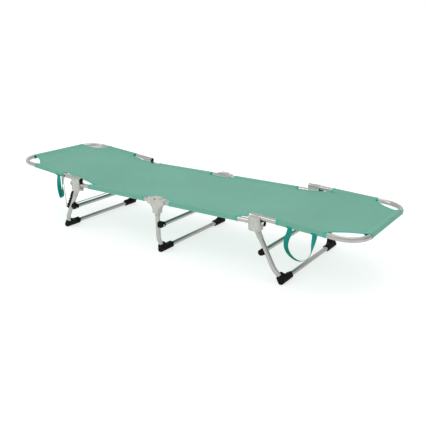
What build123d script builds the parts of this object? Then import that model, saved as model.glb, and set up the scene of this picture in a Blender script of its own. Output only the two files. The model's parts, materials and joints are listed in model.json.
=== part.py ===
"""Folding cot: a three-section aluminium frame with a mesh sheet, on three folding U-legs.

Millimetres. +X points to the foot end, -Y is the near side, +Z is up. The origin is at the
middle of the footprint, on the floor. The middle section's rails are level; the head and
foot frames are hinged above the rails' ends. The head end is raised on a wire stay, and the
foot frame rests on the ends of the middle rails.

The head end is the mirror image of the foot end, so both are modelled on the +X side.
"""
from build123d import *
from math import cos, radians, sin, sqrt
import os

os.makedirs("parts", exist_ok=True)

# ---------------------------------------------------------------- driving dimensions
TUBE_R = 11.0                # rails, frames and legs
BAR_R = 10.0                 # upper crossbars of the legs
WALL = 1.2                   # every tube's wall
FIT = 0.05                   # radial clearance of a running fit or a slip fit
RAIL_Y = 279.0               # rail axis, out from the middle
RAIL_Z = 257.0               # middle rail axis, above the floor
STACK = 26.0                 # the folding frames' axis above the middle rails' axis
HINGE_X = 514.0              # hinge pin of the head and foot frames
REACH = 477.0                # hinge pin to the end bar's axis
CORNER_R = 100.0             # bend of the frames' corners, on the axis
RAISE = 5.35                 # degrees the head frame stands above level in its lowest notch
DROOP = 3.1                  # degrees the foot frame lies below level, on the rails' ends
STUB = 66.0                  # middle rail beyond the hinge pin
TAIL = 9.0                   # folding frame's tube inboard of its hinge pin, with its plug
CAP = 1.6                    # flange of a tube plug
SPIGOT = 16.0                # length of a plug inside its tube

LEG_X = 540.0                # pivot of the head and foot legs
LEG_DROP = 26.0              # leg pivots below the middle rails' axis
SPLAY = 28.0                 # degrees the end legs stand out from vertical
LEAN = 0.5                   # degrees the middle leg stands past vertical, to the foot end
FOOT_HIGH = 14.0             # height of a leg's lower crossbar axis above the floor
BOOT_R = 15.5                # a boot's half thickness; its sole is cut level at the floor
BOOT_TOP = 3.0               # a boot's wall above the tube
BOOT_END = 182.0             # a boot's inner end, out from the middle
LEG_BEND = 75.0              # bend of the legs' corners, on the axis
SOCKET_R = 12.9              # moulded socket on top of a leg tube
SOCKET_LEN = 46.0            # leg pivot to the socket's lower end
LEG_TUBE_TOP = 17.0          # leg pivot to the top of the tube, inside the socket
END_BAR_DROP = 102.0         # leg pivot to the upper crossbar, along a head or foot leg
MID_BAR_DROP = 87.0          # and along the middle leg
BAR_OFFSET = 22.5            # upper crossbar's axis, to one side of the leg
BAR_END = 287.0              # upper crossbar's ends, out from the middle

BRACKET_HALF = 16.2          # brackets, half their thickness along Y
BRACKET_IN = 6.0             # hinge bracket's inner edge, inboard of the hinge pin
BRACKET_LEN = 56.0
BRACKET_LOW = 37.0           # hinge bracket's lower edge, below the rail axis
BRACKET_HIGH = 33.0          # and its upper edge, above it
TUBE_SLOT = 11.3             # half the gap that the folding frame's tube moves in
LEG_SLOT = 13.2              # half the gap that a leg's socket moves in
WEB = 12.8                   # from the rail axis down to the roof of the leg's gap
HINGE_PIN_R = 2.5
LEG_PIN_R = 3.0
RIVET_R = 2.4

CLOTH = 0.8                  # thickness of the sheet and its sleeves
SLEEVE_R = TUBE_R + FIT      # a sleeve's inner radius
SHEET_RISE = 5.0             # the sheet above the axes of the tubes that it hangs from
NOTCH_EDGE = 250.0           # sheet's edge beside a bracket, out from the middle
SLEEVE_FROM = 76.0           # middle sleeves start here, each side of the middle leg
SLEEVE_TO = 448.0            # and end here
SIDE_FROM = 120.0            # folding frames' side sleeves, from the hinge pin
SIDE_TO = 340.0
END_SLEEVE = 177.0           # end sleeve's half length

STAY_FROM = 110.0            # stay's pivot, from the hinge pin
STAY_Y = 296.0               # stay's arms, out from the middle
WIRE_R = 2.5
STAY_BENDS = (4.0, 9.0, 9.0, 4.0)        # near pivot, near and far lower corners, far pivot
RACK_HALF = 8.5              # rack's half width
RACK_TOP = 27.0              # rack's ends, down the leg from its pivot
RACK_END = 135.0
RACK_FACE = 24.5             # tips of its teeth, out from the leg's axis
NOTCHES = (72.0, 89.0, 106.0, 123.0)    # the wire's places, down the leg from its pivot
NOTCH_DEPTH = 17.5           # the wire's place, out from the leg's axis

WEB_W = 22.0                 # carry strap's webbing
WEB_T = 1.5
STRAP_DROP = 130.0           # frame axis to the bottom of a strap

HINGE_Z = RAIL_Z + STACK
LEG_Z = RAIL_Z - LEG_DROP
END_LEG_LEN = (LEG_Z - FOOT_HIGH) / cos(radians(SPLAY))
MID_LEG_LEN = (LEG_Z - FOOT_HIGH) / cos(radians(LEAN))
HEAD_END = HINGE_X + REACH * cos(radians(RAISE))
FOOT_END = HINGE_X + REACH * cos(radians(DROOP))
SHIFT = (HEAD_END - FOOT_END) / 2        # brings the footprint's middle to the origin
JOIN = sqrt((SLEEVE_R + CLOTH / 2) ** 2 - SHEET_RISE ** 2)   # where the sheet meets its sleeves


# ---------------------------------------------------------------- helpers
def rod(start, end, radius):
    """Solid round bar between two points."""
    start, end = Vector(*start), Vector(*end)
    run = end - start
    return Plane(start, z_dir=run.normalized()) * Cylinder(
        radius, run.length, align=(Align.CENTER, Align.CENTER, Align.MIN))


def pipe(start, end, radius, wall):
    """Straight tube between two points."""
    return rod(start, end, radius) - rod(start, end, radius - wall)


def across(x, z, y0, y1, radius):
    """Round bar along Y."""
    return rod((x, y0, z), (x, y1, z), radius)


def block(x0, x1, y0, y1, z0, z1):
    """Box between two corners."""
    return Pos((x0 + x1) / 2, (y0 + y1) / 2, (z0 + z1) / 2) * Box(x1 - x0, y1 - y0, z1 - z0)


def bent(points, bend, radius, inner=0.0):
    """Round bar or tube along a route whose corners are arcs."""
    path = FilletPolyline(*points, radius=bend)
    section = Circle(radius) - Circle(inner) if inner else Circle(radius)
    return sweep(Plane(path @ 0, z_dir=path % 0) * section, path=path)


def upright_plate(outline, y0, y1):
    """A sketch drawn in X and Z, made thick from y0 to y1."""
    return Pos(0, y1, 0) * extrude(Plane.XZ * outline, amount=y1 - y0)


def mirrored_y(shape):
    """The far side's copy of a near-side piece."""
    return mirror(shape, about=Plane.XZ)


def to_head(shape):
    """The head end's copy of a foot-end piece."""
    return mirror(shape, about=Plane.YZ)


def swing(shape, x, z, angle):
    """Turn a piece about a pin along Y; a positive angle lifts what points to +X."""
    return Pos(x, 0, z) * Rot(0, -angle, 0) * Pos(-x, 0, -z) * shape


def raised(shape):
    """Head frame piece, modelled level on the +X side, to its place."""
    return to_head(swing(shape, HINGE_X, HINGE_Z, RAISE))


def lowered(shape):
    """Foot frame piece, modelled level, to its place."""
    return swing(shape, HINGE_X, HINGE_Z, -DROOP)


def splayed(shape):
    """End leg piece, modelled hanging straight down from the origin, to the foot leg's place."""
    return Pos(LEG_X, 0, LEG_Z) * Rot(0, -SPLAY, 0) * shape


def leaned(shape):
    """Middle leg piece, modelled hanging straight down from the origin, to its place."""
    return Pos(0, 0, LEG_Z) * Rot(0, -LEAN, 0) * shape


def save(node, *shapes):
    """Write one node; several shapes are separate solids of it."""
    solids = [Pos(SHIFT, 0, 0) * solid for shape in shapes for solid in shape.solids()]
    whole = solids[0] if len(solids) == 1 else Compound(children=solids)
    export_step(whole, f"parts/{node}.step")


# ---------------------------------------------------------------- pins, rivets and plugs
def headed_pin(x, z, radius, head, head_t=1.4):
    """Near-side pin through a bracket, with a flat head on each face."""
    y0 = -RAIL_Y - BRACKET_HALF
    y1 = -RAIL_Y + BRACKET_HALF
    pin = across(x, z, y0, y1, radius)
    pin += across(x, z, y0 - head_t, y0, head)
    pin += across(x, z, y1, y1 + head_t, head)
    return pin


def tube_plug(x, z, outward):
    """Plug in a near-side rail's end at x; outward is the way its flange faces."""
    face = x + outward * CAP
    edge = fillet(rod((x, -RAIL_Y, z), (face, -RAIL_Y, z), TUBE_R)
                  .edges().filter_by(GeomType.CIRCLE).sort_by(Axis.X)[-1 if outward > 0 else 0], 1.2)
    return edge + rod((x - outward * SPIGOT, -RAIL_Y, z), (x, -RAIL_Y, z), TUBE_R - WALL - FIT)


hinge_pin = headed_pin(HINGE_X, HINGE_Z, HINGE_PIN_R, 4.5)
leg_pin = headed_pin(LEG_X, LEG_Z, LEG_PIN_R, 5.5)
mid_leg_pin = headed_pin(0, LEG_Z, LEG_PIN_R, 5.5)
end_rivet = headed_pin(HINGE_X + 32, RAIL_Z, RIVET_R, 4.0)
mid_rivet = headed_pin(33, RAIL_Z, RIVET_R, 4.0)


# ---------------------------------------------------------------- middle section
def middle_rail():
    """Near-side rail, through both hinge brackets and the middle bracket."""
    end = HINGE_X + STUB - CAP
    rail = pipe((-end, -RAIL_Y, RAIL_Z), (end, -RAIL_Y, RAIL_Z), TUBE_R, WALL)
    return rail - end_rivet - to_head(end_rivet) - mid_rivet - to_head(mid_rivet)


def hinge_bracket():
    """Near-side foot bracket: two cheeks around the rail, the folding tube and the leg."""
    x0 = HINGE_X - BRACKET_IN
    width, height = BRACKET_LEN, BRACKET_LOW + BRACKET_HIGH
    outline = Pos(x0 + width / 2, RAIL_Z - BRACKET_LOW + height / 2) * RectangleRounded(width, height, 11)
    near, far = -RAIL_Y - BRACKET_HALF, -RAIL_Y + BRACKET_HALF
    body = upright_plate(outline, near, far)
    body = fillet(body.edges().filter_by_position(Axis.Y, near, near), 2.0)
    body = fillet(body.edges().filter_by_position(Axis.Y, far, far), 2.0)
    rim = Pos(x0 + width / 2, RAIL_Z - BRACKET_LOW + height / 2) * (
        RectangleRounded(width - 10, height - 10, 8) - RectangleRounded(width - 13, height - 13, 6.5))
    body -= upright_plate(rim, near - 1, near + 0.7)
    body -= block(x0 - 1, x0 + width + 1, -RAIL_Y - TUBE_SLOT, -RAIL_Y + TUBE_SLOT, RAIL_Z, HINGE_Z + 40)
    body -= block(x0 - 1, x0 + width - 3.0, -RAIL_Y - LEG_SLOT, -RAIL_Y + LEG_SLOT,
                  RAIL_Z - 60, RAIL_Z - WEB)
    body -= rod((x0 - 1, -RAIL_Y, RAIL_Z), (x0 + width + 1, -RAIL_Y, RAIL_Z), TUBE_R + FIT)
    return body - hinge_pin - leg_pin - end_rivet


def middle_bracket():
    """Near-side middle bracket: a saddle around the rail, funnelled down to the leg's neck."""
    near, far = -RAIL_Y - BRACKET_HALF, -RAIL_Y + BRACKET_HALF
    neck, foot = 17.5, RAIL_Z - 57
    saddle = Pos(0, RAIL_Z) * RectangleRounded(100, 27, 9)
    crown = Pos(0, RAIL_Z + 8) * RectangleRounded(54, 24, 9)
    funnel = make_face(Polyline((-42, RAIL_Z - 6), (-24, RAIL_Z - 26), (-neck, RAIL_Z - 40), (-neck, foot),
                                (neck, foot), (neck, RAIL_Z - 40), (24, RAIL_Z - 26), (42, RAIL_Z - 6),
                                (-42, RAIL_Z - 6)))
    body = upright_plate(saddle + crown + funnel, near, far)
    for face_y in (near, far):
        body = chamfer(body.edges().filter_by_position(Axis.Y, face_y, face_y), 1.2)
    body -= block(-60, neck - 4.0, -RAIL_Y - LEG_SLOT, -RAIL_Y + LEG_SLOT, foot - 1, RAIL_Z - WEB)
    body -= rod((-60, -RAIL_Y, RAIL_Z), (60, -RAIL_Y, RAIL_Z), TUBE_R + FIT)
    body -= across(0, RAIL_Z + 14, near - 1, near + 3.0, 3.5)
    return body - mid_leg_pin - mid_rivet - to_head(mid_rivet)


def middle_bracket_plug():
    """Dark button in the near face of the middle bracket."""
    near = -RAIL_Y - BRACKET_HALF
    return across(0, RAIL_Z + 14, near - 0.6, near + 3.0, 3.5)


def ring(x0, x1, z):
    """Near-side sleeve on a rail, between two places along it."""
    return pipe((x0, -RAIL_Y, z), (x1, -RAIL_Y, z), SLEEVE_R + CLOTH, CLOTH)


def panel(outline, z):
    """Flat cloth, held between tubes whose axis is at z."""
    return Pos(0, 0, z + SHEET_RISE - CLOTH / 2) * extrude(outline, amount=CLOTH)


def middle_sheet():
    """Middle part of the sheet, with its four sleeves and the cut-outs at the brackets."""
    seam = RAIL_Y - JOIN
    half = HINGE_X - 9
    slope = 18.0
    one_half = make_face(Polyline((0, 0), (half, 0), (half, NOTCH_EDGE), (SLEEVE_TO + slope, NOTCH_EDGE),
                                  (SLEEVE_TO, seam), (SLEEVE_FROM, seam), (SLEEVE_FROM - slope, NOTCH_EDGE),
                                  (0, NOTCH_EDGE), (0, 0)))
    quarter = panel(one_half, RAIL_Z) + mirrored_y(ring(SLEEVE_FROM, SLEEVE_TO, RAIL_Z))
    side = quarter + to_head(quarter)
    return side + mirrored_y(side)


# ---------------------------------------------------------------- head and foot frames
def frame_tube():
    """U-shaped folding frame, level, open at the hinge pins."""
    start, end = HINGE_X - TAIL + CAP, HINGE_X + REACH
    tube = bent([(start, -RAIL_Y, HINGE_Z), (end, -RAIL_Y, HINGE_Z),
                 (end, RAIL_Y, HINGE_Z), (start, RAIL_Y, HINGE_Z)], CORNER_R, TUBE_R, TUBE_R - WALL)
    pin_hole = across(HINGE_X, HINGE_Z, -RAIL_Y - 20, -RAIL_Y + 20, HINGE_PIN_R + FIT)
    return tube - pin_hole - mirrored_y(pin_hole)


def frame_plug():
    """Near-side plug in the folding frame's open end."""
    plug = tube_plug(HINGE_X - TAIL + CAP, HINGE_Z, -1)
    return plug - across(HINGE_X, HINGE_Z, -RAIL_Y - 20, -RAIL_Y + 20, HINGE_PIN_R + FIT)


def frame_sheet():
    """Sheet on a folding frame: side sleeves, an end sleeve, bare corners and hinge cut-outs."""
    seam = RAIL_Y - JOIN
    x0, xs, xe = HINGE_X + 10, HINGE_X + SIDE_FROM, HINGE_X + SIDE_TO
    end = HINGE_X + REACH - JOIN
    corner = Spline((xe, seam), (xe + 12, 246), (xe + 50, 214), (xe + 98, 190), (end, END_SLEEVE))
    outline = make_face([Polyline((end, END_SLEEVE), (end, 0), (x0, 0), (x0, NOTCH_EDGE),
                                  (xs - 24, NOTCH_EDGE), (xs, seam), (xe, seam)), corner])
    half = panel(outline, HINGE_Z) + mirrored_y(ring(xs, xe, HINGE_Z))
    end_sleeve = pipe((HINGE_X + REACH, -END_SLEEVE, HINGE_Z), (HINGE_X + REACH, END_SLEEVE, HINGE_Z),
                      SLEEVE_R + CLOTH, CLOTH)
    return half + mirrored_y(half) + end_sleeve


def carry_strap(first, second):
    """Webbing loop stitched under the near sleeve, with its strands this far from the hinge pin."""
    centre, half = HINGE_X + (first + second) / 2, (second - first) / 2
    inner_r = SLEEVE_R + CLOTH + FIT
    low = HINGE_Z - STRAP_DROP + half + WEB_W / 2
    bow = Pos(centre, low) * (Circle(half + WEB_W / 2) - Circle(half - WEB_W / 2))
    bow -= Pos(centre, low + 100) * Rectangle(300, 200)
    strap = upright_plate(bow, -RAIL_Y - WEB_T / 2, -RAIL_Y + WEB_T / 2)
    for x in (HINGE_X + first, HINGE_X + second):
        strap += block(x - WEB_W / 2, x + WEB_W / 2, -RAIL_Y - WEB_T / 2, -RAIL_Y + WEB_T / 2,
                       low, HINGE_Z - inner_r - 0.5)
        cradle = pipe((x - WEB_W / 2, -RAIL_Y, HINGE_Z), (x + WEB_W / 2, -RAIL_Y, HINGE_Z),
                      inner_r + WEB_T, WEB_T)
        strap += cradle - block(x - WEB_W, x + WEB_W, -RAIL_Y - 20, -RAIL_Y + 20, HINGE_Z + 2, HINGE_Z + 20)
    return strap


# ---------------------------------------------------------------- legs
def leg_tube(length, screw):
    """U-shaped leg, hanging straight down, with holes for the crossbar's screws."""
    tube = bent([(0, -RAIL_Y, -LEG_TUBE_TOP), (0, -RAIL_Y, -length), (0, RAIL_Y, -length),
                 (0, RAIL_Y, -LEG_TUBE_TOP)], LEG_BEND, TUBE_R, TUBE_R - WALL)
    return tube - screw - mirrored_y(screw)


def leg_socket():
    """Near-side moulded socket: an eye for the pin, and a ringed barrel around the tube."""
    barrel = rod((0, -RAIL_Y, 0), (0, -RAIL_Y, -SOCKET_LEN), SOCKET_R)
    barrel += across(0, 0, -RAIL_Y - SOCKET_R, -RAIL_Y + SOCKET_R, SOCKET_R)
    for down in (30, 35, 40):
        groove = pipe((0, -RAIL_Y, -down), (0, -RAIL_Y, -down - 1.6), SOCKET_R + 1, 1.7)
        barrel -= groove
    barrel -= pipe((0, -RAIL_Y, -LEG_TUBE_TOP), (0, -RAIL_Y, -SOCKET_LEN - 1), TUBE_R + FIT, WALL + 2 * FIT)
    return barrel - across(0, 0, -RAIL_Y - 20, -RAIL_Y + 20, LEG_PIN_R + FIT)


def crossbar_screw(side, drop):
    """Near-side screw through the upper crossbar and its clip, into the upright."""
    tip, head = side * 5.0, side * (BAR_OFFSET + 13.2)
    screw = rod((tip, -RAIL_Y, -drop), (head, -RAIL_Y, -drop), 2.2)
    return screw + rod((head, -RAIL_Y, -drop), (head + side * 1.6, -RAIL_Y, -drop), 4.4)


def crossbar(side, drop, screw):
    """Upper crossbar, beside the uprights."""
    bar = pipe((side * BAR_OFFSET, -BAR_END, -drop), (side * BAR_OFFSET, BAR_END, -drop), BAR_R, WALL)
    return bar - screw - mirrored_y(screw)


def crossbar_clip(side, drop, screw):
    """Near-side moulded clip: a cap on the crossbar's end and a saddle against the upright."""
    x = side * BAR_OFFSET
    cap = across(x, -drop, -BAR_END - 3, -BAR_END + 24, BAR_R + 3)
    saddle = block(min(x, side * 3), max(x, side * 3), -RAIL_Y - 10, -RAIL_Y + 14, -drop - 14, -drop + 14)
    saddle = fillet(saddle.edges().filter_by(Axis.X), 4.0)
    clip = cap + saddle
    clip -= rod((0, -RAIL_Y, -drop - 60), (0, -RAIL_Y, -drop + 60), TUBE_R + FIT)
    clip -= across(x, -drop, -BAR_END, -BAR_END + 60, BAR_R + FIT)
    return clip - screw


def boot(length):
    """Near-side moulded foot around the leg's lower bend, before its sole is cut level."""
    centre_y, centre_z = RAIL_Y - LEG_BEND, -length + LEG_BEND
    inner, outer, opening = LEG_BEND - TUBE_R - BOOT_TOP, LEG_BEND + TUBE_R + 2.5, radians(50)
    lip = -length + LEG_BEND - inner
    outer_y = centre_y + outer * sin(opening)
    exit_in = (centre_y + inner * sin(opening), centre_z - inner * cos(opening))
    mid_in = (centre_y + inner * sin(opening / 2), centre_z - inner * cos(opening / 2))
    outline = make_face([
        Polyline((centre_y, lip), (BOOT_END, lip), (BOOT_END, -length - 30), (outer_y, -length - 30),
                 (outer_y, centre_z - outer * cos(opening)), exit_in),
        ThreePointArc(exit_in, mid_in, (centre_y, lip))])
    shoe = Pos(-BOOT_R, 0, 0) * extrude(Plane.YZ * outline, amount=2 * BOOT_R)
    shoe = fillet(shoe.edges().filter_by_position(Axis.X, BOOT_R, BOOT_R), 6.0)
    shoe = fillet(shoe.edges().filter_by_position(Axis.X, -BOOT_R, -BOOT_R), 6.0)
    shoe &= across(0, -length, 0, 400, BOOT_R) + block(-BOOT_R, BOOT_R, 0, 400, -length, 0)
    core = bent([(0, RAIL_Y, -LEG_TUBE_TOP), (0, RAIL_Y, -length), (0, 0, -length)],
                LEG_BEND, TUBE_R + FIT)
    return mirrored_y(shoe - core)


def rack():
    """Near-side notched strip on the outer side of the head leg's upright."""
    bar = make_face(Polyline((6, -RACK_TOP), (RACK_FACE - 3, -RACK_TOP), (RACK_FACE, -RACK_TOP - 4),
                             (RACK_FACE, -RACK_END + 10), (RACK_FACE + 5, -RACK_END + 8),
                             (RACK_FACE + 5, -RACK_END + 4), (RACK_FACE, -RACK_END), (6, -RACK_END),
                             (6, -RACK_TOP)))
    gap = WIRE_R + 0.5
    for down in NOTCHES:
        bar -= Pos(NOTCH_DEPTH, -down) * Circle(gap)
        bar -= make_face(Polyline((NOTCH_DEPTH, -down - gap), (RACK_FACE + 8, -down - gap),
                                  (RACK_FACE + 8, -down + gap + 8), (NOTCH_DEPTH, -down + gap),
                                  (NOTCH_DEPTH, -down - gap)))
    strip = upright_plate(bar, -RAIL_Y - RACK_HALF, -RAIL_Y + RACK_HALF)
    strip -= rod((0, -RAIL_Y, 0), (0, -RAIL_Y, -200), TUBE_R + FIT)
    strip -= rod((0, -RAIL_Y, 0), (0, -RAIL_Y, -SOCKET_LEN - 0.3), SOCKET_R + FIT)
    for screw in rack_screws():
        strip -= screw
    return strip


def rack_screws():
    """Two near-side screws that hold the rack to the upright, sunk between its teeth."""
    screws = []
    for down in (62.0, 114.5):
        shank = rod((8, -RAIL_Y, -down), (14, -RAIL_Y, -down), 1.6)
        screws.append(shank + rod((14, -RAIL_Y, -down), (RACK_FACE + 1, -RAIL_Y, -down), 2.8))
    return screws


def level(shape):
    """Cut what is below the floor."""
    return shape & block(-2000, 2000, -1000, 1000, 0, 1000)


def save_leg(name, length, drop, side, place, with_rack=False):
    """Write one leg's nodes; side is where its crossbar is, place puts a piece where it stands."""
    screw = crossbar_screw(side, drop)
    tube = leg_tube(length, screw)
    if with_rack:
        for rack_screw in rack_screws():
            tube -= rack_screw
            tube -= mirrored_y(rack_screw)
    save(f"{name}_leg_tube", place(tube))
    save(f"{name}_leg_crossbar", place(crossbar(side, drop, screw)))
    clip = crossbar_clip(side, drop, screw)
    save(f"{name}_leg_clips", place(clip), place(mirrored_y(clip)))
    save(f"{name}_leg_screws", place(screw), place(mirrored_y(screw)))
    for hand, flip in (("near", lambda shape: shape), ("far", mirrored_y)):
        save(f"{name}_leg_socket_{hand}", place(flip(leg_socket())))
        save(f"{name}_leg_boot_{hand}", level(place(flip(boot(length)))))


# ---------------------------------------------------------------- wire stay
def stay():
    """Bent wire that props the head frame: arms outside the rails, a crosswire in the racks."""
    top_x = HINGE_X + STAY_FROM * cos(radians(RAISE))
    top_z = HINGE_Z + STAY_FROM * sin(radians(RAISE))
    splay = radians(SPLAY)
    low_x = LEG_X + NOTCHES[-1] * sin(splay) + NOTCH_DEPTH * cos(splay)
    low_z = LEG_Z - NOTCHES[-1] * cos(splay) + NOTCH_DEPTH * sin(splay)
    tip = RAIL_Y - 8
    return bent([(top_x, -tip, top_z), (top_x, -STAY_Y, top_z), (low_x, -STAY_Y, low_z),
                 (low_x, STAY_Y, low_z), (top_x, STAY_Y, top_z), (top_x, tip, top_z)],
                STAY_BENDS, WIRE_R)


def stay_bush():
    """Near-side bush in the head rail's outer wall that the wire turns in."""
    x = HINGE_X + STAY_FROM
    bush = across(x, HINGE_Z, -RAIL_Y - TUBE_R - 0.6, -RAIL_Y + 7, 4.0)
    bush += across(x, HINGE_Z, -RAIL_Y - TUBE_R - 1.8, -RAIL_Y - TUBE_R - 0.1, 5.5)
    return bush - across(x, HINGE_Z, -RAIL_Y - 20, -RAIL_Y + 20, WIRE_R + FIT)


# ---------------------------------------------------------------- write every node
both_hands = (("near", lambda shape: shape), ("far", mirrored_y))

rail = middle_rail()
end_bracket = hinge_bracket()
mid_bracket = middle_bracket()
for hand, flip in both_hands:
    save(f"middle_rail_{hand}", flip(rail))
    save(f"head_bracket_{hand}", to_head(flip(end_bracket)))
    save(f"foot_bracket_{hand}", flip(end_bracket))
    save(f"middle_bracket_{hand}", flip(mid_bracket))

rail_plug = tube_plug(HINGE_X + STUB - CAP, RAIL_Z, 1)
rail_plugs = [rail_plug, mirrored_y(rail_plug)]
save("middle_rail_plugs", *rail_plugs, *[to_head(plug) for plug in rail_plugs])
save("head_hinge_pins", to_head(hinge_pin), to_head(mirrored_y(hinge_pin)))
save("foot_hinge_pins", hinge_pin, mirrored_y(hinge_pin))
leg_pins = [leg_pin, mid_leg_pin, to_head(leg_pin)]
save("leg_hinge_pins", *leg_pins, *[mirrored_y(pin) for pin in leg_pins])
rivets = [end_rivet, mid_rivet, to_head(mid_rivet), to_head(end_rivet)]
save("bracket_rivets", *rivets, *[mirrored_y(rivet) for rivet in rivets])
save("middle_bracket_buttons", middle_bracket_plug(), mirrored_y(middle_bracket_plug()))
save("middle_sheet", middle_sheet())

bush = stay_bush()
bush_hole = across(HINGE_X + STAY_FROM, HINGE_Z, -RAIL_Y - 20, -RAIL_Y, 4.0)
head_tube = frame_tube() - bush_hole - mirrored_y(bush_hole)
for end, place, tube, strands in (("head", raised, head_tube, (129, 161)),
                                  ("foot", lowered, frame_tube(), (182, 291))):
    save(f"{end}_frame_tube", place(tube))
    save(f"{end}_tube_plugs", place(frame_plug()), place(mirrored_y(frame_plug())))
    save(f"{end}_sheet", place(frame_sheet()))
    save(f"{end}_carry_strap", place(carry_strap(*strands)))
save("stay_bushes", raised(bush), raised(mirrored_y(bush)))
save("backrest_stay", to_head(stay()))

save_leg("foot", END_LEG_LEN, END_BAR_DROP, -1, splayed)
save_leg("middle", MID_LEG_LEN, MID_BAR_DROP, 1, leaned)
save_leg("head", END_LEG_LEN, END_BAR_DROP, -1, lambda shape: to_head(splayed(shape)),
         with_rack=True)
head_rack = rack()
save("rack_near", to_head(splayed(head_rack)))
save("rack_far", to_head(splayed(mirrored_y(head_rack))))
save("rack_screws", *[to_head(splayed(flip(screw))) for screw in rack_screws() for _, flip in both_hands])
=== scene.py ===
import json
from math import acos, atan2, cos, hypot, pi, radians, sin

import bpy
import numpy as np
from mathutils import Matrix, Vector


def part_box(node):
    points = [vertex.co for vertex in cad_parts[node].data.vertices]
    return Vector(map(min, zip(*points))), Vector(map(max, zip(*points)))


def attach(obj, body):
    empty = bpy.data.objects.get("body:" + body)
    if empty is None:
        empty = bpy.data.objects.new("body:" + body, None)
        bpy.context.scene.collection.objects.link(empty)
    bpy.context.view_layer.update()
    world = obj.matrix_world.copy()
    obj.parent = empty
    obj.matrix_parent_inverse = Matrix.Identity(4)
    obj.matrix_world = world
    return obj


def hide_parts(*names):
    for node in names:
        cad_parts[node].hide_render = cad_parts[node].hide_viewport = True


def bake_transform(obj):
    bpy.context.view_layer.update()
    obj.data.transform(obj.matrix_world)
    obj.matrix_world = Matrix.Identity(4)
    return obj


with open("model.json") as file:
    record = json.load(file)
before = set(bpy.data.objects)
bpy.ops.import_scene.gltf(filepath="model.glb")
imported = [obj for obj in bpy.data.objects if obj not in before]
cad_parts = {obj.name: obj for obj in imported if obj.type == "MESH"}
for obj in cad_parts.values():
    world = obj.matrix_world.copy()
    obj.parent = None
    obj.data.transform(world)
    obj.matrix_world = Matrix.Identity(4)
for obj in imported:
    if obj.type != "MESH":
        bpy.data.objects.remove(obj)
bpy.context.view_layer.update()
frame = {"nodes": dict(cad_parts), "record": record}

# ---------------------------------------------------------------- the frame's own places
JOINTS = {joint["name"]: joint for joint in frame["record"]["behaviour"]["joints"]}
TUBE_R = 0.011
rail_lo, rail_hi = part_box("middle_rail_near")
RAIL_Y = -(rail_lo.y + rail_hi.y) / 2
RAIL_Z = (rail_lo.z + rail_hi.z) / 2

# ---------------------------------------------------------------- how the sheet is cut
CLOTH = 0.0007               # the mesh's thickness
WRAP_R = TUBE_R + 0.0005     # middle of the cloth where it goes round a tube
SEAM = 0.025                 # a sleeve's seam, inboard of its tube's axis
RISE = 0.005                 # the sheet's plane above the axes of the tubes
HEM = 0.011                  # cloth folded under, past the seam
SAG = 0.007                  # the sheet's middle below its edges
MIDDLE_SLEEVE = (0.076, 0.448)           # from the middle of the cot
SIDE_SLEEVE = (0.120, 0.340)             # from the hinge pin, along the frame
REACH = 0.477                            # hinge pin to the end bar's axis
END_HALF = 0.182                         # the end sleeve's half length
HINGE_DIP = 0.004                        # how far a side cut-out bows in
MIDDLE_BOW = 0.0015                      # how far the edge beside the middle leg bows in
CORNER_CUT = ((0.0, 0.254), (0.11, 0.243), (0.3, 0.225), (0.52, 0.207), (0.76, 0.193), (1.0, END_HALF))
BEND_FROM, BEND_TO = 0.030, 0.046        # the part of the sheet that bends, each side of a hinge pin

# ---------------------------------------------------------------- the sheet's grid
COLUMNS = 52
EDGE_CROWD = 1.25            # columns crowd towards the edges, as a sine of this many radians does
MIDDLE_ROWS, RAIL_ROWS, HINGE_ROWS, SIDE_ROWS, CORNER_ROWS = 8, 30, 20, 18, 18
EASINGS = 3                  # rounds of smoothing of the corner cut
SETTLING = 2600              # rounds that the membrane takes to settle

# ---------------------------------------------------------------- binding and thread
TAPE_W = 0.0105              # binding on the cut-outs
TAPE_H = 0.0010              # its face above the middle of the cloth
TAPE_FOLD = 0.0008           # its fold, past the cut edge
STITCH, STITCH_PITCH = 0.0027, 0.0040
THREAD_TOP, THREAD_SIDE, THREAD_LOW = 0.00042, 0.00038, 0.0003
INSET = 0.0022               # a stitch line, in from its edge
SEAM_LINES = (INSET, HEM - 0.0015)       # both lines of a seam, inboard of it
UNDERLAP = CLOTH * 1.6       # a sleeve's lower layer, below the sheet

# ---------------------------------------------------------------- carry straps
WEB_W, WEB_T = 0.022, 0.0015
HANG_FROM = 0.030            # a strand hangs free from here, below its tube's axis
STRAP_ROWS = 90
TWIST_RISE = 1.3             # how late a strap's twist comes in
SEWN_FROM, SEWN_TO = radians(-172), radians(-8)     # a strap's ends round the sleeve
SEWN_ROWS = 16

# ---------------------------------------------------------------- studio and camera
LIGHTS = (                   # name, place, watts, size, colour
    ("key", (-1.6, -2.6, 3.4), 22.0, 1.6, (1.0, 0.99, 0.97)),
    ("top", (0.6, 1.2, 3.6), 18.0, 2.0, (1.0, 1.0, 1.0)))
LIT_SPOT = (0, 0, 0.15)      # where the lights point
SKY_DARK, SKY_PALE = (0.06, 0.06, 0.06), (0.90, 0.90, 0.88)
FLOOR_HALF, FLOOR_DROP = 60.0, 0.0004
FLOOR_GLOW = 0.67            # keeps the floor pale under the cot
CAMERA_AT = (1.7045, -2.2511, 1.0497)
CAMERA_YAW, CAMERA_PITCH, CAMERA_ROLL = radians(125.11), radians(18.20), -0.0065
SENSOR, LENS = 36.0, 49.15


# ================================================================ materials
def node_tree(name):
    mat = bpy.data.materials.new(name)
    mat.use_nodes = True
    nodes = mat.node_tree.nodes
    return mat, nodes, mat.node_tree.links, nodes["Principled BSDF"]


def add(nodes, kind, **settings):
    node = nodes.new(kind)
    for key, value in settings.items():
        if isinstance(value, dict):
            for socket, number in value.items():
                node.inputs[socket].default_value = number
        else:
            setattr(node, key, value)
    return node


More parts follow.
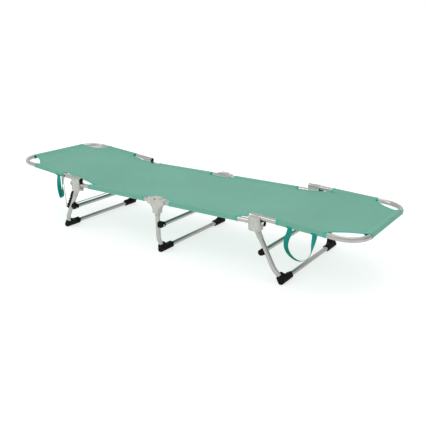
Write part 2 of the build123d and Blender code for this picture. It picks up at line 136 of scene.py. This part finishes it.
def maths(nodes, links, operation, a, b=None):
    node = add(nodes, "ShaderNodeMath", operation=operation)
    for socket, value in zip(node.inputs, (a, b)):
        if hasattr(value, "is_output"):
            links.new(value, socket)
        elif value is not None:
            socket.default_value = value
    return node.outputs[0]


def ramp(nodes, links, source, low, high, positions=(0.35, 0.65)):
    """Colour between low and high as source goes between the two positions."""
    node = add(nodes, "ShaderNodeValToRGB")
    for element, place, colour in zip(node.color_ramp.elements, positions, (low, high)):
        element.position = place
        element.color = (*colour, 1)
    links.new(source, node.inputs[0])
    return node.outputs["Color"]


def noise(nodes, links, coordinate, scale, detail=3.0, stretch=None):
    if stretch:
        mapping = add(nodes, "ShaderNodeMapping", inputs={"Scale": stretch})
        links.new(coordinate, mapping.inputs["Vector"])
        coordinate = mapping.outputs[0]
    node = add(nodes, "ShaderNodeTexNoise", inputs={"Scale": scale, "Detail": detail})
    links.new(coordinate, node.inputs["Vector"])
    return node.outputs["Fac"]


def bump(nodes, links, shader, height, distance, strength=1.0):
    node = add(nodes, "ShaderNodeBump", inputs={"Distance": distance, "Strength": strength})
    links.new(height, node.inputs["Height"])
    links.new(node.outputs[0], shader.inputs["Normal"])


def tint(colour, share):
    return tuple(min(1.0, c * share) for c in colour)


def metal(name, colour, rough, grain=(60, 60, 60), spread=0.10, coarse=14.0):
    """Drawn or plated metal: uneven sheen, with fine rub marks and a slight tone shift."""
    mat, nodes, links, shader = node_tree(name)
    place = add(nodes, "ShaderNodeTexCoord").outputs["Object"]
    fine = noise(nodes, links, place, 9.0, 5.0, stretch=grain)
    broad = noise(nodes, links, place, coarse, 2.0)
    links.new(ramp(nodes, links, broad, tint(colour, 0.90), colour), shader.inputs["Base Color"])
    sheen = maths(nodes, links, "MULTIPLY_ADD", fine, spread)
    sheen.node.inputs[2].default_value = rough - spread / 2
    links.new(sheen, shader.inputs["Roughness"])
    shader.inputs["Metallic"].default_value = 1.0
    bump(nodes, links, shader, fine, 0.00006, 0.5)
    return mat


def moulding(name, colour, rough, grain=900.0, depth=0.00012, dust=0.12, gloss=0.4):
    """Injection moulding: a fine spark-eroded skin, scuffed paler on its edges."""
    mat, nodes, links, shader = node_tree(name)
    place = add(nodes, "ShaderNodeTexCoord").outputs["Object"]
    skin = noise(nodes, links, place, grain, 2.0)
    broad = noise(nodes, links, place, 38.0, 4.0)
    pointiness = add(nodes, "ShaderNodeNewGeometry").outputs["Pointiness"]
    edge = maths(nodes, links, "SUBTRACT", pointiness, 0.5)
    worn = maths(nodes, links, "MULTIPLY", maths(nodes, links, "MAXIMUM", edge, 0.0), 3.0)
    tone = maths(nodes, links, "ADD", broad, worn)
    pale = tuple(c + (1 - c) * dust for c in colour)
    links.new(ramp(nodes, links, tone, tint(colour, 0.94), pale, (0.3, 0.85)), shader.inputs["Base Color"])
    rough_map = maths(nodes, links, "MULTIPLY_ADD", broad, 0.16)
    rough_map.node.inputs[2].default_value = rough - 0.08
    links.new(rough_map, shader.inputs["Roughness"])
    shader.inputs["Specular IOR Level"].default_value = gloss
    bump(nodes, links, shader, skin, depth)
    return mat


def woven(name, colour, gap, pitch, depth, attribute, rough=0.55, twill=0.0, shade=0.10):
    """Cloth of crossing threads, over and under each other, with painted shade in the gaps between them."""
    mat, nodes, links, shader = node_tree(name)
    place = add(nodes, "ShaderNodeAttribute", attribute_name=attribute).outputs["Vector"]
    split = add(nodes, "ShaderNodeSeparateXYZ")
    links.new(place, split.inputs[0])
    u = maths(nodes, links, "MULTIPLY", split.outputs["X"], pi / pitch)
    v = maths(nodes, links, "MULTIPLY", split.outputs["Y"], pi / pitch)
    if twill:
        u = maths(nodes, links, "ADD", u, maths(nodes, links, "MULTIPLY", v, twill))
    warp = maths(nodes, links, "ABSOLUTE", maths(nodes, links, "SINE", u))
    weft = maths(nodes, links, "ABSOLUTE", maths(nodes, links, "SINE", v))
    over = maths(nodes, links, "MULTIPLY", maths(nodes, links, "COSINE", u),
                 maths(nodes, links, "COSINE", v))
    body = maths(nodes, links, "MAXIMUM", warp, weft)
    height = maths(nodes, links, "MULTIPLY_ADD", over, 0.35)
    links.new(body, height.node.inputs[2])
    slub = noise(nodes, links, place, 26.0, 4.0, stretch=(1.0, 7.0, 1.0))
    broad = noise(nodes, links, place, 3.2, 3.0)
    tone = maths(nodes, links, "MULTIPLY_ADD", slub, 0.5)
    links.new(maths(nodes, links, "MULTIPLY", broad, 0.5), tone.node.inputs[2])
    thread = ramp(nodes, links, tone, tint(colour, 1 - shade), tint(colour, 1 + shade / 2))
    # the gaps between threads get the darker gap colour: painted shade in the holes of the weave
    mix = add(nodes, "ShaderNodeMix", data_type="RGBA")
    cover = maths(nodes, links, "SMOOTH_MIN", maths(nodes, links, "MULTIPLY", body, 1.7), 1.0)
    links.new(cover, mix.inputs["Factor"])
    mix.inputs["A"].default_value = (*gap, 1)
    links.new(thread, mix.inputs["B"])
    links.new(mix.outputs["Result"], shader.inputs["Base Color"])
    shader.inputs["Roughness"].default_value = rough
    shader.inputs["Specular IOR Level"].default_value = 0.22
    shader.inputs["Sheen Weight"].default_value = 0.04
    shader.inputs["Sheen Roughness"].default_value = 0.4
    bump(nodes, links, shader, height, depth)
    return mat


CLOTH_COLOUR = (0.138, 0.390, 0.300)
TAPE_COLOUR = (0.050, 0.420, 0.330)
STRAP_COLOUR = (0.000, 0.290, 0.225)
# the second colour here is painted shade for the gaps between a thread's fibres
THREAD_COLOUR, THREAD_GAP_SHADE = (0.16, 0.56, 0.44), (0.05, 0.25, 0.20)

MATERIALS = {
    "aluminium_tube": metal("satin_aluminium", (0.46, 0.46, 0.445), 0.22, grain=(40, 40, 6)),
    "bracket_plastic": moulding("light_grey_moulding", (0.41, 0.425, 0.39), 0.46),
    "black_plastic": moulding("black_moulding", (0.0035, 0.0035, 0.003), 0.55, dust=0.006, gloss=0.05),
    "steel_fastener": metal("zinc_plated_steel", (0.62, 0.62, 0.60), 0.34, spread=0.16, coarse=160.0),
    "steel_wire": metal("zinc_plated_wire", (0.66, 0.67, 0.66), 0.28, spread=0.12, coarse=90.0),
}
# each darker tint passed as a gap colour below is painted shade in the holes of that weave
mesh_cloth = woven("mesh_cloth", CLOTH_COLOUR, tint(CLOTH_COLOUR, 0.55), 0.0015, 0.00016, "cloth",
                   rough=0.52)
tape_cloth = woven("binding_tape", TAPE_COLOUR, tint(TAPE_COLOUR, 0.7), 0.0009, 0.00014, "cloth",
                   rough=0.5, twill=0.5)
strap_cloth = woven("strap_webbing", STRAP_COLOUR, tint(STRAP_COLOUR, 0.5), 0.0016, 0.00030, "cloth",
                    rough=0.6, twill=1.0, shade=0.2)
thread = woven("seam_thread", THREAD_COLOUR, THREAD_GAP_SHADE, 0.0004, 0.00004, "cloth", rough=0.45)

for node in frame["nodes"]:
    obj = bpy.data.objects[node]
    slot = next(part["material_slot"] for part in frame["record"]["subparts"] if part["node"] == node)
    if slot in MATERIALS:
        for material_slot in obj.material_slots:
            material_slot.material = MATERIALS[slot]
        if not obj.material_slots:
            obj.data.materials.append(MATERIALS[slot])


# ================================================================ mesh helpers
def make_mesh(name, verts, faces, cloth, material, thickness=0.0):
    """Smooth mesh object with its cloth coordinates, thickened about its middle if asked."""
    mesh = bpy.data.meshes.new(name)
    mesh.from_pydata([tuple(v) for v in verts], [], faces)
    mesh.update()
    mesh.attributes.new("cloth", "FLOAT_VECTOR", "POINT").data.foreach_set(
        "vector", np.array(cloth, np.float32).ravel())
    mesh.polygons.foreach_set("use_smooth", [True] * len(mesh.polygons))
    obj = bpy.data.objects.new(name, mesh)
    bpy.context.scene.collection.objects.link(obj)
    mesh.materials.append(material)
    if thickness:
        solid = obj.modifiers.new("thickness", "SOLIDIFY")
        solid.thickness, solid.offset = thickness, 0.0
        bpy.context.view_layer.update()
        thickened = obj.evaluated_get(bpy.context.evaluated_depsgraph_get())
        final = bpy.data.meshes.new_from_object(thickened)
        obj.modifiers.clear()
        obj.data = final
    obj.data.set_sharp_from_angle(angle=radians(55))
    return obj


def unit(v):
    return v / np.maximum(np.linalg.norm(v, axis=-1, keepdims=True), 1e-12)


def picked(places, along, table):
    """A table of places or directions, read between its rows."""
    return np.stack([np.interp(places, along, table[:, k]) for k in range(3)], axis=1)


def resampled(path, step):
    """Rows of (point, normal) along a path, one every step."""
    points = np.array([row[0] for row in path])
    normals = np.array([row[1] for row in path])
    along = np.concatenate(([0], np.cumsum(np.linalg.norm(np.diff(points, axis=0), axis=1))))
    places = np.arange(step / 2, along[-1], step)
    return picked(places, along, points), unit(picked(places, along, normals))


class Stitches:
    """Thread laid in short stitches: each is a slim bead with eight faces."""

    def __init__(self):
        self.verts, self.faces, self.cloth = [], [], []

    def run(self, path):
        points, normals = resampled(path, STITCH_PITCH)
        if len(points) < 3:
            return
        ways = unit(np.gradient(points, axis=0))
        for point, normal, way in zip(points, normals, ways):
            side = np.cross(normal, way)
            first = len(self.verts)
            ends = [point - way * STITCH / 2, point + way * STITCH / 2]
            ring = [point + normal * THREAD_TOP, point + side * THREAD_SIDE,
                    point - side * THREAD_SIDE, point - normal * THREAD_LOW]
            self.verts += ends + ring
            self.cloth += [tuple(v) for v in ends + ring]
            a, b, top, left, right, low = range(first, first + 6)
            for end, flip in ((a, False), (b, True)):
                for face in ((end, left, top), (end, top, right), (end, right, low), (end, low, left)):
                    self.faces.append(face[::-1] if flip else face)


# ================================================================ the sheet
class End:
    """One end of the cot: sign is +1 for the foot, -1 for the head."""

    def __init__(self, name, sign):
        self.name, self.sign = name, sign
        self.px, _, self.pz = JOINTS[f"{name}_fold"]["pos_m"]
        lo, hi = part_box(f"{name}_frame_tube")
        far_x = hi.x if sign > 0 else lo.x
        end_x = abs(far_x - self.px) - TUBE_R
        end_z = (lo.z + TUBE_R if name == "foot" else hi.z - TUBE_R) - self.pz
        self.angle = atan2(end_z, end_x)

    def at(self, t, q):
        """x and z of a place t along the folding frame from its pin, and q above its axes."""
        c, s = cos(self.angle), sin(self.angle)
        return self.px + self.sign * (t * c - q * s), self.pz + t * s + q * c

    def base(self, place, q):
        """x and z of a row: place is ('rail', x) or ('frame', t)."""
        kind, along = place
        return (self.sign * along, RAIL_Z + q) if kind == "rail" else self.at(along, q)


def steps(a, b, n):
    return [a + (b - a) * k / n for k in range(n + 1)]


def side_rows():
    """Rows of one half of the sheet, from the middle out: their place, half width and whether sewn."""
    full = RAIL_Y - SEAM
    rows = []
    for x in steps(0, MIDDLE_SLEEVE[0], MIDDLE_ROWS):
        bow = MIDDLE_BOW * cos(pi / 2 * x / MIDDLE_SLEEVE[0])
        rows.append((("rail", x), full - bow, x == MIDDLE_SLEEVE[0]))
    for x in steps(*MIDDLE_SLEEVE, RAIL_ROWS)[1:]:
        rows.append((("rail", x), full, True))
    for share in steps(0, 1, HINGE_ROWS)[1:]:
        place = ("gap", share) if share < 1 else ("frame", SIDE_SLEEVE[0])
        rows.append((place, full - HINGE_DIP * sin(pi * share), share == 1))
    for t in steps(*SIDE_SLEEVE, SIDE_ROWS)[1:]:
        rows.append((("frame", t), full, True))
    cut_at = [place for place, _ in CORNER_CUT]
    cut_half = [half for _, half in CORNER_CUT]
    for share in steps(0, 1, CORNER_ROWS)[1:]:
        t = SIDE_SLEEVE[1] + (REACH - SEAM - SIDE_SLEEVE[1]) * share
        rows.append((("frame", t), float(np.interp(share, cut_at, cut_half)), False))
    return rows


def eased(halves):
    """Half widths with the corner cut's knots smoothed."""
    first = len(halves) - CORNER_ROWS
    for _ in range(EASINGS):
        halves[first:-1] = (halves[first - 1:-2] + 2 * halves[first:-1] + halves[first + 1:]) / 4
    return halves


ROWS = side_rows()
halves = eased(np.array([row[1] for row in ROWS]))
sewn = [row[2] for row in ROWS]
ends = [End("head", -1), End("foot", 1)]
shares = np.sin(np.linspace(-1, 1, COLUMNS + 1) * EDGE_CROWD) / sin(EDGE_CROWD)


def base_line(end):
    """x and z of every row at the seams, with the stretch over the hinge drawn straight."""
    rail_end, frame_start = end.base(("rail", MIDDLE_SLEEVE[1]), RISE), end.at(SIDE_SLEEVE[0], RISE)
    line = []
    for (kind, along), _, _ in ROWS:
        if kind == "gap":
            line.append(tuple(a + (b - a) * along for a, b in zip(rail_end, frame_start)))
        else:
            line.append(end.base((kind, along), RISE))
    return np.array(line)


def settled(row_x, grid_y, grid_z, fixed):
    """Heights of a stretched membrane that sags a little under its weight, held where fixed."""
    along_gap = np.maximum(np.abs(np.diff(row_x)), 1e-4)[:, None]
    across_gap = np.maximum(np.diff(grid_y, axis=1), 1e-4)
    across_step = grid_y[:, -1:] * 2 / COLUMNS
    row_step = np.abs(np.gradient(row_x)[:, None])
    w_along = np.repeat(1.0 / along_gap, COLUMNS + 1, axis=1) * (across_step[:-1] + across_step[1:]) / 2
    w_across = np.repeat(row_step, COLUMNS, axis=1) / across_gap
    total = np.zeros_like(grid_z)
    total[:-1] += w_along
    total[1:] += w_along
    total[:, :-1] += w_across
    total[:, 1:] += w_across
    pull = SAG * 8 / (2 * (RAIL_Y - SEAM)) ** 2
    held = grid_z.copy()
    for _ in range(SETTLING):
        drawn = np.zeros_like(grid_z)
        drawn[:-1] += w_along * grid_z[1:]
        drawn[1:] += w_along * grid_z[:-1]
        drawn[:, :-1] += w_across * grid_z[:, 1:]
        drawn[:, 1:] += w_across * grid_z[:, :-1]
        grid_z = np.where(fixed, held, (drawn - pull * (row_step * across_step)) / total)
    return grid_z


# Both halves as one membrane, from the head's last row to the foot's.
lines = [base_line(end) for end in ends]
row_x = np.concatenate((lines[0][::-1, 0], lines[1][1:, 0]))
row_z = np.concatenate((lines[0][::-1, 1], lines[1][1:, 1]))
row_half = np.concatenate((halves[::-1], halves[1:]))
row_sewn = np.array(sewn[::-1] + sewn[1:])
middle_row = len(ROWS) - 1
grid_y = row_half[:, None] * shares[None, :]
level = np.repeat(row_z[:, None], COLUMNS + 1, axis=1)
fixed = np.zeros(level.shape, bool)
fixed[row_sewn, 0] = fixed[row_sewn, -1] = True
fixed[0, :] = fixed[-1, :] = True
grid_z = settled(row_x, grid_y, level, fixed)


def sleeve_profile():
    """Places round a sleeve from its seam to its hem: (outboard of the axis, above it), and normal."""
    reach = hypot(SEAM, RISE)
    seam_at = atan2(RISE, -SEAM)
    spread = acos(WRAP_R / reach)
    upper, lower = seam_at - spread, seam_at + spread - 2 * pi
    top = (WRAP_R * cos(upper), WRAP_R * sin(upper))
    low = (WRAP_R * cos(lower), WRAP_R * sin(lower))
    flap_n, under_n = (cos(upper), sin(upper)), (cos(lower), sin(lower))
    profile = [((-SEAM + (top[0] + SEAM) * k / 4, RISE + (top[1] - RISE) * k / 4), flap_n)
               for k in (1, 2, 3)]
    for turn in steps(upper, lower, 16):
        profile.append(((WRAP_R * cos(turn), WRAP_R * sin(turn)), (cos(turn), sin(turn))))
    seam_low = (-SEAM, RISE - UNDERLAP)
    profile += [((low[0] + (seam_low[0] - low[0]) * k / 4, low[1] + (seam_low[1] - low[1]) * k / 4), under_n)
                for k in (1, 2, 3, 4)]
    profile.append(((-SEAM - HEM, RISE - UNDERLAP - 0.0003), (0.0, -1.0)))
    return profile


PROFILE = sleeve_profile()
profile_run = np.cumsum([hypot(a[0][0] - b[0][0], a[0][1] - b[0][1])
                         for a, b in zip([((-SEAM, RISE), None)] + PROFILE, PROFILE)])


def build_half(end, part):
    """One half of the sheet, its binding and its stitches."""
    rows = list(range(middle_row, -1, -1) if end.sign < 0 else range(middle_row, 2 * middle_row + 1))
    n, wide = len(rows), COLUMNS + 1
    run = np.concatenate(([0], np.cumsum(np.hypot(np.diff(row_x[rows]), np.diff(row_z[rows])))))
    verts = [np.array((row_x[r], grid_y[r, j], grid_z[r, j])) for r in rows for j in range(wide)]
    cloth = [(end.sign * run[i], grid_y[r, j], 0.0) for i, r in enumerate(rows) for j in range(wide)]
    faces = []

    def quad(a, b, c, d):
        faces.append((a, b, c, d) if end.sign > 0 else (d, c, b, a))

    for i in range(n - 1):
        for j in range(COLUMNS):
            a = i * wide + j
            quad(a, a + wide, a + wide + 1, a + 1)

    grid = np.array(verts).reshape(n, wide, 3)
    slope_u, slope_v = np.gradient(grid, axis=0), np.gradient(grid, axis=1)
    normals = unit(np.cross(slope_u, slope_v) * end.sign)

    def rail_point(i, side, spot, direction=False):
        """A profile place of row i on one side, in the frame's axes."""
        p, q = spot
        x, z = end.base(ROWS[i][0], q)
        if direction:
            axis_x, axis_z = end.base(ROWS[i][0], 0.0)
            return np.array((x - axis_x, side * p, z - axis_z))
        return np.array((x, side * (RAIL_Y + p), z))

    def sleeve_rows(first, last):
        for side, column in ((-1, 0), (1, COLUMNS)):
            previous = [i * wide + column for i in range(first, last + 1)]
            for spot_at, (spot, _) in enumerate(PROFILE):
                start = len(verts)
                for i in range(first, last + 1):
                    verts.append(rail_point(i, side, spot))
                    cloth.append((end.sign * run[i], side * (RAIL_Y - SEAM + profile_run[spot_at]), 0.0))
                current = list(range(start, len(verts)))
                for k in range(last - first):
                    if side > 0:
                        quad(previous[k], previous[k + 1], current[k + 1], current[k])
                    else:
                        quad(current[k], current[k + 1], previous[k + 1], previous[k])
                previous = current

    first_a = next(i for i in range(n) if sewn[i])
    last_a = next(i for i in range(first_a, n) if not sewn[i]) - 1
    first_b = next(i for i in range(last_a + 1, n) if sewn[i])
    last_b = next(i for i in range(first_b, n) if not sewn[i]) - 1
    sleeve_rows(first_a, last_a)
    sleeve_rows(first_b, last_b)

    previous = [(n - 1) * wide + j for j in range(wide)]
    for spot_at, (spot, _) in enumerate(PROFILE):
        start = len(verts)
        x, z = end.at(REACH + spot[0], spot[1])
        for j in range(wide):
            verts.append(np.array((x, grid_y[rows[-1], j], z)))
            cloth.append((end.sign * (run[-1] + profile_run[spot_at]), grid_y[rows[-1], j], 0.0))
        current = list(range(start, len(verts)))
        for j in range(COLUMNS):
            quad(previous[j], current[j], current[j + 1], previous[j + 1])
        previous = current

    sheet = make_mesh(f"mesh_sheet_{part}", verts, faces, cloth, mesh_cloth)
    bpy.data.objects.remove(sheet)
    sheet = make_mesh(f"mesh_sheet_{part}", verts, faces, cloth, mesh_cloth, CLOTH)

    # -------- bindings: rows of (point, normal, way into the cloth) along each cut-out
    def rail_way(i, outwards):
        kind, along = ROWS[i][0]
        a, b = end.base((kind, along), RISE), end.base((kind, along + 0.01), RISE)
        way = unit(np.array((b[0] - a[0], 0.0, b[1] - a[1])))
        return way if outwards else -way

    def mouth(i, side, outwards):
        """Round a sleeve's mouth from its hem to its seam; the cloth lies outwards, or inwards."""
        table = []
        for spot, turned in reversed(PROFILE):
            normal = unit(rail_point(i, side, turned, direction=True))
            table.append((rail_point(i, side, spot), normal, rail_way(i, outwards)))
        return table

    def edge(first, last, side):
        """Along a free edge, between two rows."""
        column = 0 if side < 0 else COLUMNS
        table = []
        line = grid[first:last + 1, column]
        ways = unit(np.gradient(line, axis=0))
        for k, i in enumerate(range(first, last + 1)):
            normal = normals[i, column]
            into = unit(np.cross(normal, ways[k]))
            if into[1] * side > 0:
                into = -into
            table.append((line[k], normal, into))
        return table

    def end_mouth(side):
        """Round the end sleeve's mouth, from its seam to its hem."""
        y = side * halves[-1]
        table = []
        for spot, turned in PROFILE:
            x, z = end.at(REACH + spot[0], spot[1])
            a, b = end.at(REACH, 0.0), end.at(REACH + turned[0], turned[1])
            table.append((np.array((x, y, z)), unit(np.array((b[0] - a[0], 0.0, b[1] - a[1]))),
                          np.array((0.0, -side, 0.0))))
        return table

    def joined(*tables):
        """One path; at each corner the way into the cloth turns in small steps."""
        path = list(tables[0])
        for table in tables[1:]:
            a, b = path[-1], table[0]
            corner = table[0][0] if np.linalg.norm(a[0] - b[0]) > 0.004 else (a[0] + b[0]) / 2
            for k in range(1, 6):
                share = k / 6
                path.append((corner + unit(b[2] - a[2]) * 1e-5 * k,
                             unit(a[1] * (1 - share) + b[1] * share),
                             unit(a[2] * (1 - share) + b[2] * share)))
            path += table
        return path

    stitches = Stitches()
    tape_verts, tape_faces, tape_cloth_at = [], [], []

    def bind(path):
        """Folded tape over a cut edge, as a closed strip."""
        section = [(TAPE_W, TAPE_H * 0.75), (TAPE_W * 0.5, TAPE_H), (TAPE_FOLD, TAPE_H), (-TAPE_FOLD, 0.0),
                   (TAPE_FOLD, -TAPE_H), (TAPE_W * 0.5, -TAPE_H), (TAPE_W, -TAPE_H * 0.75)]
        first, length = len(tape_verts), 0.0
        for k, (point, normal, into) in enumerate(path):
            if k:
                length += float(np.linalg.norm(point - path[k - 1][0]))
            for across, (depth, height) in enumerate(section):
                tape_verts.append(point + into * depth + normal * height)
                tape_cloth_at.append((length, (across - 3) * 0.0045, 0.0))
        m = len(section)
        for k in range(len(path) - 1):
            for c in range(m):
                a, b = first + k * m + c, first + k * m + (c + 1) % m
                tape_faces.append((a, b, b + m, a + m))
        tape_faces.append(tuple(first + c for c in range(m))[::-1])
        tape_faces.append(tuple(first + (len(path) - 1) * m + c for c in range(m)))
        for flip in (1, -1):
            stitches.run([(point + into * (TAPE_W - INSET) + normal * flip * TAPE_H * 0.85, normal * flip)
                          for point, normal, into in path])

    for side in (-1, 1):
        bind(joined(mouth(first_a, side, True), edge(0, first_a, side)[::-1]))
        bind(joined(mouth(last_a, side, False), edge(last_a, first_b, side),
                    mouth(first_b, side, True)[::-1]))
        bind(joined(mouth(last_b, side, False), edge(last_b, n - 1, side), end_mouth(side)))
        column = 0 if side < 0 else COLUMNS
        for first, last in ((first_a, last_a), (first_b, last_b)):
            line = grid[first:last + 1, column]
            inward = np.array((0.0, -side, 0.0))
            for depth in SEAM_LINES:
                for flip in (1, -1):
                    lift = CLOTH * (0.5 if flip > 0 else 2.4)
                    stitches.run([(line[k] + inward * depth + normals[first + k, column] * flip * lift,
                                   normals[first + k, column] * flip) for k in range(2, len(line) - 2)])
    for depth in SEAM_LINES:
        x, z = end.at(REACH - SEAM - depth, RISE + CLOTH * 0.6)
        up = unit(np.array((end.at(0, 1)[0] - end.at(0, 0)[0], 0, end.at(0, 1)[1] - end.at(0, 0)[1])))
        stitches.run([(np.array((x, y, z)), up) for y in np.linspace(-1, 1, 40) * (END_HALF - 0.012)])

    tape = make_mesh(f"edge_binding_{part}", tape_verts, tape_faces, tape_cloth_at, tape_cloth)
    seams = make_mesh(f"seam_stitches_{part}", stitches.verts, stitches.faces, stitches.cloth, thread)
    start = (end.sign * (abs(end.px) - BEND_FROM), 0, end.pz)
    for piece in (sheet, tape, seams):
        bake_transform(piece)
    return sheet


head_half = build_half(ends[0], "head")
foot_half = build_half(ends[1], "foot")
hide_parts("head_sheet", "middle_sheet")
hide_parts("foot_sheet")


# ================================================================ carry straps
def smooth_path(points, count):
    """A smooth line through a few points."""
    curve = bpy.data.curves.new("route", "CURVE")
    curve.dimensions = "3D"
    spline = curve.splines.new("NURBS")
    spline.points.add(len(points) - 1)
    for spot, place in zip(spline.points, points):
        spot.co = (*place, 1)
    spline.order_u, spline.use_endpoint_u, spline.resolution_u = 4, True, 24
    holder = bpy.data.objects.new("route", curve)
    mesh = bpy.data.meshes.new_from_object(holder)
    line = np.array([v.co for v in mesh.vertices])
    bpy.data.objects.remove(holder)
    bpy.data.curves.remove(curve)
    bpy.data.meshes.remove(mesh)
    along = np.concatenate(([0], np.cumsum(np.linalg.norm(np.diff(line, axis=0), axis=1))))
    places = np.linspace(0, along[-1], count)
    return picked(places, along, line), places


def carry_strap(end, strands, drop, lean, bulge, turn):
    """Loop of webbing sewn flat under the near sleeve; its strands twist towards the bottom.

    strands are where it is sewn, along the frame; drop is its depth and lean how far it hangs out;
    bulge moves its five lower points along the frame, and turn is its twist at the bottom.
    """
    a, b = strands
    mid = (a + b) / 2
    under = -(WRAP_R + CLOTH + WEB_T)
    route = [(a, under, 0.0), (a, -HANG_FROM, 0.0), (a + bulge[0], -drop * 0.50, lean),
             (a + bulge[1], -drop * 0.86, lean), (mid + bulge[2], -drop * 1.10, lean),
             (b + bulge[3], -drop * 0.84, lean * 0.7), (b + bulge[4], -drop * 0.45, lean * 0.4),
             (b, -HANG_FROM, 0.0), (b, under, 0.0)]
    points = []
    for t, q, out in route:
        x, z = end.at(t, q)
        points.append((x, -RAIL_Y - out, z))
    line, along = smooth_path(points, STRAP_ROWS)
    ways = unit(np.gradient(line, axis=0))
    share = along / along[-1]
    rise = np.sin(pi * share) ** TWIST_RISE
    verts, cloth, faces = [], [], []
    section = [(-0.97, 0.5), (-0.5, 0.5), (0, 0.5), (0.5, 0.5), (0.97, 0.5), (1, 0.25), (1, -0.25),
               (0.97, -0.5), (0.5, -0.5), (0, -0.5), (-0.5, -0.5), (-0.97, -0.5), (-1, -0.25)]
    cross = np.array((0.0, 1.0, 0.0))
    for k, (point, way) in enumerate(zip(line, ways)):
        flat = unit(np.cross(way, cross))
        angle = turn * rise[k]
        wide = unit(flat * cos(angle) + unit(np.cross(flat, way)) * sin(angle))
        normal = unit(np.cross(way, wide))
        for w, h in section:
            verts.append(point + wide * w * WEB_W / 2 + normal * h * WEB_T)
            cloth.append((along[k], w * WEB_W / 2, 0.0))
    m = len(section)
    for k in range(len(line) - 1):
        for c in range(m):
            p, q = k * m + c, k * m + (c + 1) % m
            faces.append((p, q, q + m, p + m))
    faces.append(tuple(range(m))[::-1])
    faces.append(tuple((len(line) - 1) * m + c for c in range(m)))

    # the sewn ends, wrapped half round the sleeve
    for t in strands:
        first = len(verts)
        turns = steps(SEWN_FROM, SEWN_TO, SEWN_ROWS)
        for angle in turns:
            for side in (-1, 1):
                for layer in (WRAP_R + CLOTH, WRAP_R + CLOTH + WEB_T):
                    x, z = end.at(t + side * WEB_W / 2, layer * sin(angle))
                    verts.append(np.array((x, -RAIL_Y + layer * cos(angle), z)))
                    cloth.append((angle * WRAP_R, side * WEB_W / 2, 0.0))
        ring = (0, 2, 3, 1)
        for k in range(len(turns) - 1):
            for c in range(4):
                p, q = first + k * 4 + ring[c], first + k * 4 + ring[(c + 1) % 4]
                faces.append((p, q, q + 4, p + 4))
        faces.append(tuple(first + c for c in ring)[::-1])
        faces.append(tuple(first + (len(turns) - 1) * 4 + c for c in ring))
    strap = make_mesh(f"carry_strap_{end.name}", verts, faces, cloth, strap_cloth)
    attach(strap, f"{end.name}_frame")
    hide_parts(f"{end.name}_carry_strap")


carry_strap(ends[1], strands=(0.182, 0.291), drop=0.135, lean=0.006,
            bulge=(-0.014, -0.004, 0.000, -0.006, -0.005), turn=radians(105))
carry_strap(ends[0], strands=(0.129, 0.161), drop=0.128, lean=0.002,
            bulge=(0.006, -0.003, -0.008, -0.008, 0.000), turn=radians(-80))


# ================================================================ studio
def sky():
    """White to the camera; to everything else pale on one side and dark on the other."""
    world = bpy.data.worlds.new("studio")
    world.use_nodes = True
    nodes, links = world.node_tree.nodes, world.node_tree.links
    split = add(nodes, "ShaderNodeSeparateXYZ")
    links.new(add(nodes, "ShaderNodeTexCoord").outputs["Generated"], split.inputs[0])
    tilt = maths(nodes, links, "MULTIPLY_ADD", split.outputs["X"], -0.32)
    links.new(maths(nodes, links, "MULTIPLY_ADD", split.outputs["Y"], -0.30), tilt.node.inputs[2])
    side = maths(nodes, links, "ADD", tilt, 0.5)
    softbox = add(nodes, "ShaderNodeMix", data_type="RGBA")
    links.new(add(nodes, "ShaderNodeLightPath").outputs["Is Camera Ray"], softbox.inputs["Factor"])
    links.new(ramp(nodes, links, side, SKY_DARK, SKY_PALE, (0.30, 0.75)), softbox.inputs["A"])
    softbox.inputs["B"].default_value = (1, 1, 1, 1)
    links.new(softbox.outputs["Result"], nodes["Background"].inputs["Color"])
    nodes["Background"].inputs["Strength"].default_value = 1.0
    bpy.context.scene.world = world


def pale_floor():
    """Plain pale floor, just under the boots."""
    mat, nodes, links, shader = node_tree("pale_floor")
    place = add(nodes, "ShaderNodeTexCoord").outputs["Object"]
    tone = noise(nodes, links, place, 0.6, 2.0)
    links.new(ramp(nodes, links, tone, (0.44, 0.44, 0.44), (0.46, 0.46, 0.46)), shader.inputs["Base Color"])
    shader.inputs["Roughness"].default_value = 0.9
    shader.inputs["Emission Color"].default_value = (1, 1, 1, 1)
    shader.inputs["Emission Strength"].default_value = FLOOR_GLOW
    mesh = bpy.data.meshes.new("floor")
    corners = ((-1, -1), (1, -1), (1, 1), (-1, 1))
    mesh.from_pydata([(x * FLOOR_HALF, y * FLOOR_HALF, -FLOOR_DROP) for x, y in corners], [],
                     [(0, 1, 2, 3)])
    floor = bpy.data.objects.new("floor", mesh)
    mesh.materials.append(mat)
    bpy.context.scene.collection.objects.link(floor)


def lights():
    for name, spot, power, size, colour in LIGHTS:
        light = bpy.data.lights.new(name, "AREA")
        light.energy, light.size, light.color = power, size, colour
        lamp = bpy.data.objects.new(name, light)
        lamp.location = spot
        lamp.rotation_euler = (Vector(LIT_SPOT) - Vector(spot)).to_track_quat("-Z", "Y").to_euler()
        bpy.context.scene.collection.objects.link(lamp)


def camera():
    """Looks along yaw and down by pitch, rolled a little about its own axis."""
    ahead = Vector((cos(CAMERA_PITCH) * cos(CAMERA_YAW), cos(CAMERA_PITCH) * sin(CAMERA_YAW),
                    -sin(CAMERA_PITCH)))
    right = ahead.cross(Vector((0, 0, 1))).normalized()
    up = right.cross(ahead)
    c, s = cos(CAMERA_ROLL), sin(CAMERA_ROLL)
    right, up = right * c + up * s, up * c - right * s
    data = bpy.data.cameras.new("camera")
    data.sensor_width, data.lens = SENSOR, LENS
    obj = bpy.data.objects.new("camera", data)
    turn = Matrix((right, up, -ahead)).transposed().to_4x4()
    obj.matrix_world = Matrix.Translation(CAMERA_AT) @ turn
    bpy.context.scene.collection.objects.link(obj)
    bpy.context.scene.camera = obj


bpy.context.scene.view_settings.view_transform = "Standard"
bpy.context.scene.view_settings.look = "None"
sky()
pale_floor()
lights()
camera()
